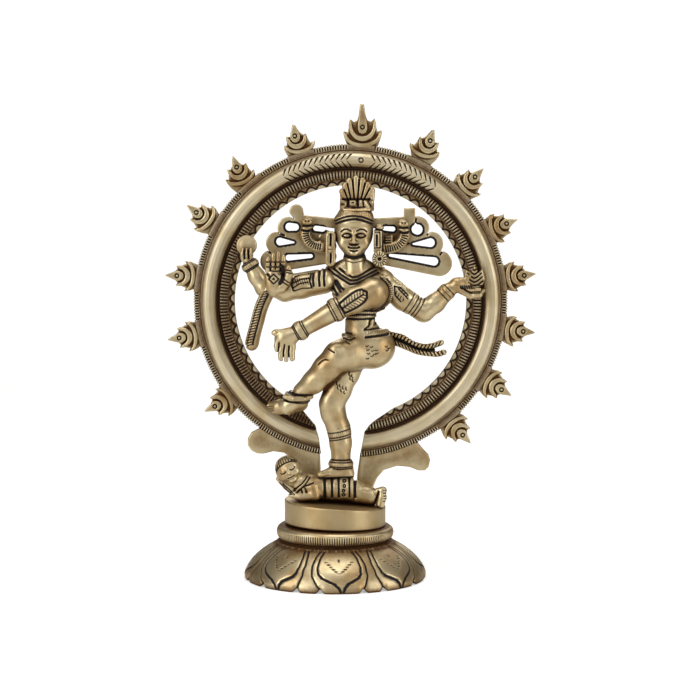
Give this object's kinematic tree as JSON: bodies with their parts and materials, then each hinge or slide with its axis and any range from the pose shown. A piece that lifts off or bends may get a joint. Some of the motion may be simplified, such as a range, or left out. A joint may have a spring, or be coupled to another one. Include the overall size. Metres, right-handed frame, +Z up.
{
  "type": "brass nataraja statue",
  "caption": "Brass figure of a four-armed dancer standing on a dwarf inside a flaming ring arch, on a turned drum and a hollow lotus base.",
  "frame": {"origin": "centre of the whole statue's bounding box in x and y, on the surface that the lotus base stands on", "axes": "+Z up, the dancer faces -Y, +X to the viewer's right; the ring arch lies in a plane parallel to X and Z"},
  "size_m": [0.1395, 0.068, 0.1781],
  "materials": {
    "cast_brass": "lost-wax cast, hand chased, darkened with a brown patina in the recesses and rubbed bright on the high places",
    "polished_brass": "cast, filed and buffed to a soft satin shine, with dark patina left in the engraved lines",
    "turned_brass": "lathe turned, satin, with fine circular tool marks",
    "steel": "plain zinc plated screw stock"
  },
  "bodies": {
    "root": {"lotus_base": "cast_brass", "base_collar": "cast_brass", "arch_foot_left": "cast_brass", "arch_foot_right": "cast_brass", "dancer_body": "cast_brass", "front_right_arm": "cast_brass", "front_left_arm": "cast_brass", "rear_right_arm": "cast_brass", "rear_left_arm": "cast_brass", "crown": "cast_brass", "ear_loop": "cast_brass", "ear_rosette": "cast_brass", "hair_fan_left": "cast_brass", "hair_fan_right": "cast_brass", "serpent_left": "cast_brass", "serpent_right": "cast_brass", "hand_drum": "cast_brass", "held_flame": "cast_brass", "arm_scarf": "cast_brass", "waist_sash": "cast_brass", "dwarf": "cast_brass", "flame_top": "cast_brass", "flame_left_1": "cast_brass", "flame_left_2": "cast_brass", "flame_left_3": "cast_brass", "flame_left_4": "cast_brass", "flame_left_5": "cast_brass", "flame_left_6": "cast_brass", "flame_right_1": "cast_brass", "flame_right_2": "cast_brass", "flame_right_3": "cast_brass", "flame_right_4": "cast_brass", "flame_right_5": "cast_brass", "flame_right_6": "cast_brass", "flame_right_7": "cast_brass", "arch_ring": "polished_brass", "plinth_drum": "turned_brass", "fixing_bolt": "steel", "fixing_washer": "steel"}
  },
  "joints": []
}
